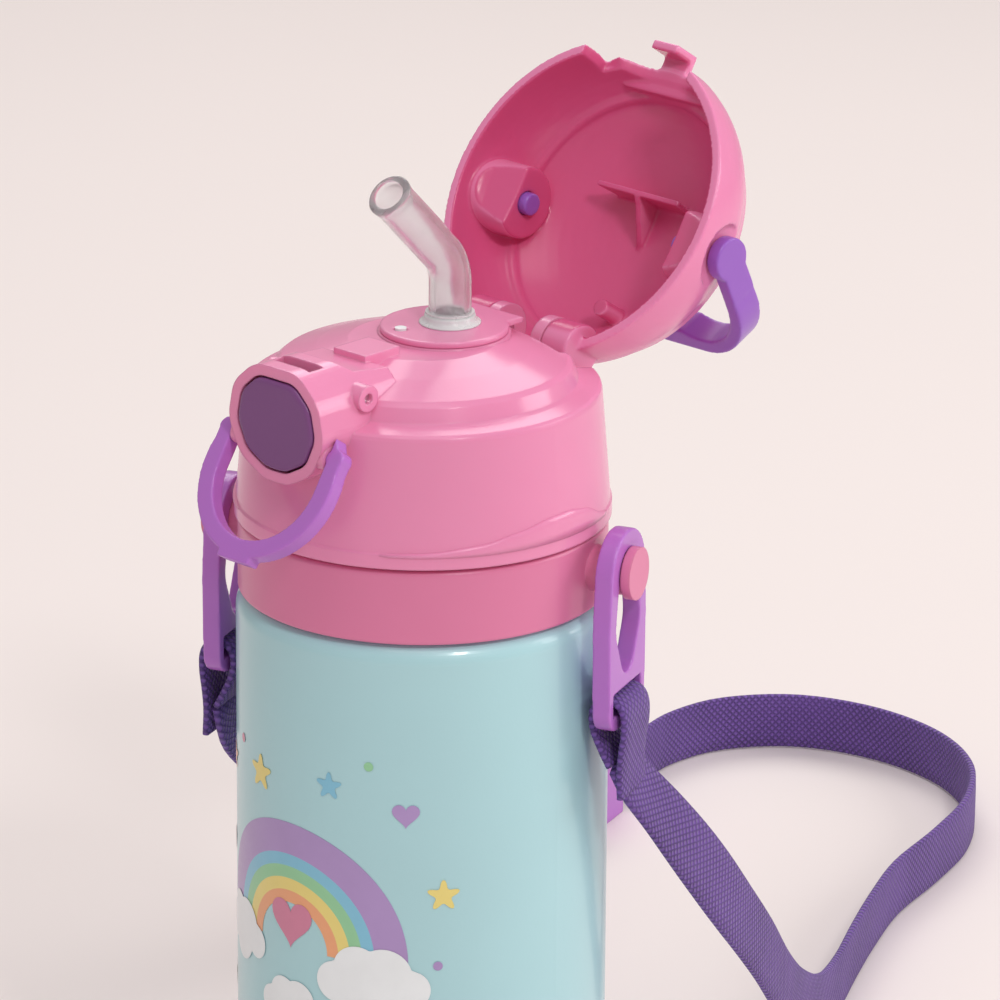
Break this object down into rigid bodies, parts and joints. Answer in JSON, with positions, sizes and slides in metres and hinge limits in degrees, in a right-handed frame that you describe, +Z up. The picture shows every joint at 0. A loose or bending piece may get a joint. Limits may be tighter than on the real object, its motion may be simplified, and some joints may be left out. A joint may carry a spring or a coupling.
{
  "type": "kids water bottle",
  "caption": "Insulated bottle for children: screw cap with a flip-up lid held open, bent soft spout, push-button catch, lock bail, carry handle and webbing shoulder strap.",
  "frame": {"origin": "centre of the round foot, on the surface the bottle stands on", "axes": "+Z up along the bottle's axis, -Y towards the push button at the front, +Y towards the lid's hinge, +X to the bottle's left side seen from the front"},
  "size_m": [0.1638, 0.289, 0.2169],
  "materials": {
    "base_rubber": "matt grey rubber",
    "bare_steel": "brushed stainless steel",
    "blue_steel": "satin pale blue-green powder coat on stainless steel",
    "collar_pink": "deep pink polypropylene",
    "cap_pink": "glossy pink polypropylene",
    "liner_plastic": "pale pink polypropylene",
    "lilac_plastic": "glossy lilac plastic",
    "button_plum": "plum plastic",
    "webbing": "woven purple polyester webbing",
    "silicone": "translucent clear silicone",
    "white_silicone": "white silicone",
    "straw_plastic": "translucent polypropylene",
    "pin_steel": "polished stainless steel",
    "grey_plastic": "grey acetal"
  },
  "bodies": {
    "bottle": {"base_pad": "base_rubber", "base_plate": "bare_steel", "outer_shell": "blue_steel", "inner_flask": "bare_steel", "collar_ring": "collar_pink", "strap_webbing": "webbing", "strap_slider": "lilac_plastic"},
    "gasket": {"cap_gasket": "white_silicone"},
    "cap": {"cap_body": "cap_pink", "cap_liner": "liner_plastic", "spout_ring": "cap_pink", "vent_valve": "white_silicone", "mouthpiece_base": "silicone", "straw_tube": "straw_plastic", "button_spring": "pin_steel", "latch_pin": "pin_steel", "hinge_pin_right": "pin_steel", "hinge_pin_left": "pin_steel"},
    "lid": {"flip_lid": "cap_pink"},
    "spout": {"mouthpiece_tip": "silicone"},
    "handle": {"carry_handle": "lilac_plastic"},
    "bail": {"lock_bail": "lilac_plastic"},
    "button": {"release_button": "button_plum"},
    "catch": {"latch_catch": "grey_plastic"},
    "hook_right": {"strap_hook_right": "lilac_plastic"},
    "hook_left": {"strap_hook_left": "lilac_plastic"}
  },
  "joints": [
    {"name": "cap_lift", "type": "slide", "parent": "bottle", "child": "gasket", "axis": [0, 0, 1], "range_m": [0, 0.0051]},
    {"name": "cap_turn", "type": "hinge", "parent": "gasket", "child": "cap", "pos_m": [0, 0, 0.15], "axis": [0, 0, 1], "range_deg": [0, 450]},
    {"name": "lid_hinge", "type": "hinge", "parent": "cap", "child": "lid", "pos_m": [0, 0.028, 0.1672], "axis": [1, 0, 0], "range_deg": [0, 123], "deforming": ["mouthpiece_tip"]},
    {"name": "spout_fold", "type": "hinge", "parent": "cap", "child": "spout", "pos_m": [0, 0.007, 0.177], "axis": [1, 0, 0], "range_deg": [0, 62], "deforming": ["mouthpiece_tip"]},
    {"name": "handle_swing", "type": "hinge", "parent": "lid", "child": "handle", "pos_m": [0, 0.04901, 0.18432], "axis": [1, 0, 0], "range_deg": [0, 70]},
    {"name": "bail_swing", "type": "hinge", "parent": "cap", "child": "bail", "pos_m": [0, -0.036, 0.1607], "axis": [1, 0, 0], "range_deg": [-150, 0]},
    {"name": "button_press", "type": "slide", "parent": "cap", "child": "button", "axis": [0, 1, 0], "range_m": [0, 0.001], "stiffness_N_per_m": 500, "springref_m": -0.002, "deforming": ["button_spring"]},
    {"name": "catch_tilt", "type": "hinge", "parent": "cap", "child": "catch", "pos_m": [0, -0.027, 0.1702], "axis": [1, 0, 0], "range_deg": [0, 8.3]},
    {"name": "hook_swing_right", "type": "hinge", "parent": "bottle", "child": "hook_right", "pos_m": [0.03697, 0.01419, 0.1329], "axis": [0.9336, 0.3584, 0], "range_deg": [-12, 12]},
    {"name": "hook_swing_left", "type": "hinge", "parent": "bottle", "child": "hook_left", "pos_m": [-0.03697, -0.01419, 0.1329], "axis": [-0.9336, -0.3584, 0], "range_deg": [-12, 12]}
  ],
  "couplings": [
    {"joint": "cap_lift", "follows": "cap_turn", "m_per_rad": 0.00063662},
    {"joint": "spout_fold", "follows": "lid_hinge", "ratio": 0.5},
    {"joint": "catch_tilt", "follows": "button_press", "rad_per_m": 144}
  ]
}
